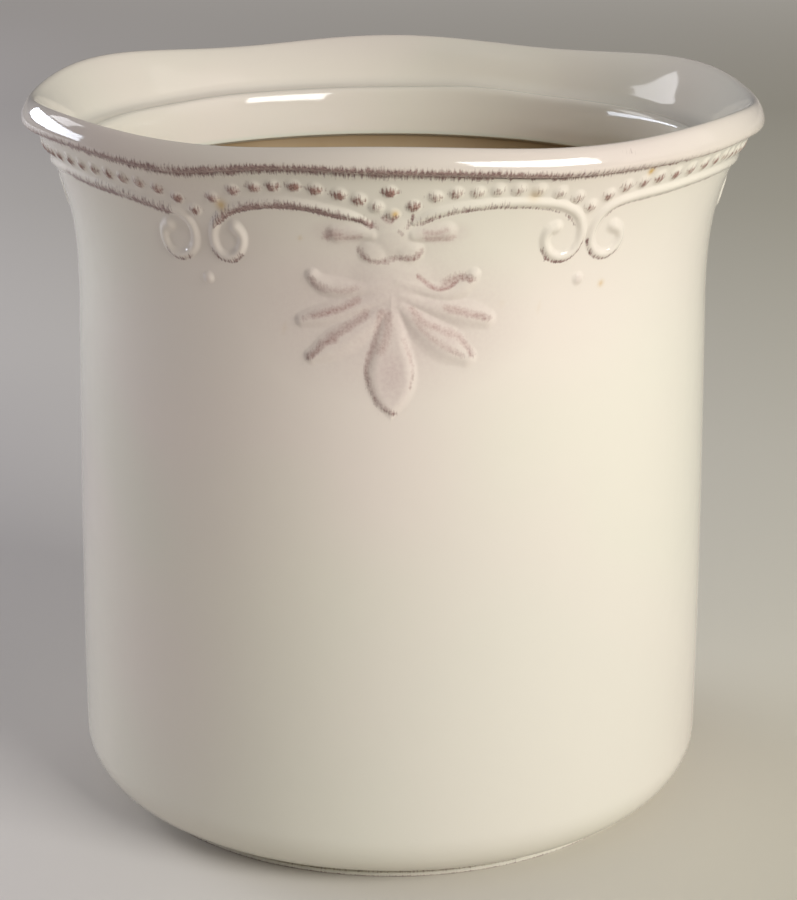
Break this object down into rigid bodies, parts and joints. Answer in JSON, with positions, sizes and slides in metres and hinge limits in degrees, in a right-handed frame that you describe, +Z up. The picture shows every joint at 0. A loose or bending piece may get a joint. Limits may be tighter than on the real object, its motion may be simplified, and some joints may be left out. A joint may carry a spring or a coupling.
{
  "type": "canister crock",
  "caption": "Open round glazed crock or canister with a flared lobed rim, and relief beading, swags and palmettes under its lip.",
  "frame": {"origin": "centre of the foot ring's flat underside, which is also the bottom centre of the bounding box", "axes": "+Z up along the crock's axis, out of its mouth; -Y towards the front palmette, with the second palmette at +Y; X across to the plain side panels"},
  "size_m": [0.1826, 0.1854, 0.183],
  "materials": {
    "cream_glaze": "glossy cream glaze",
    "bead_glaze": "glossy cream glaze over mauve-brown brushed stain",
    "swag_glaze": "glossy cream glaze over mauve-brown brushed stain",
    "drop_glaze": "glossy cream glaze",
    "palmette_glaze": "glossy cream glaze over thin mauve stain"
  },
  "bodies": {
    "root": {"crock_body": "cream_glaze", "bead_course_front": "bead_glaze", "bead_course_back": "bead_glaze", "bead_course_right_front": "bead_glaze", "bead_course_left_back": "bead_glaze", "bead_course_right_back": "bead_glaze", "bead_course_left_front": "bead_glaze", "top_bead_front": "bead_glaze", "top_bead_back": "bead_glaze", "swag_front_left": "swag_glaze", "swag_front_right": "swag_glaze", "swag_back_left": "swag_glaze", "swag_back_right": "swag_glaze", "swag_right_front": "swag_glaze", "swag_left_back": "swag_glaze", "swag_right_back": "swag_glaze", "swag_left_front": "swag_glaze", "junction_drop_front": "drop_glaze", "junction_drop_back": "drop_glaze", "junction_drop_right_front": "drop_glaze", "junction_drop_left_back": "drop_glaze", "junction_drop_right_back": "drop_glaze", "junction_drop_left_front": "drop_glaze", "palmette_front": "palmette_glaze", "palmette_back": "palmette_glaze"}
  },
  "joints": []
}
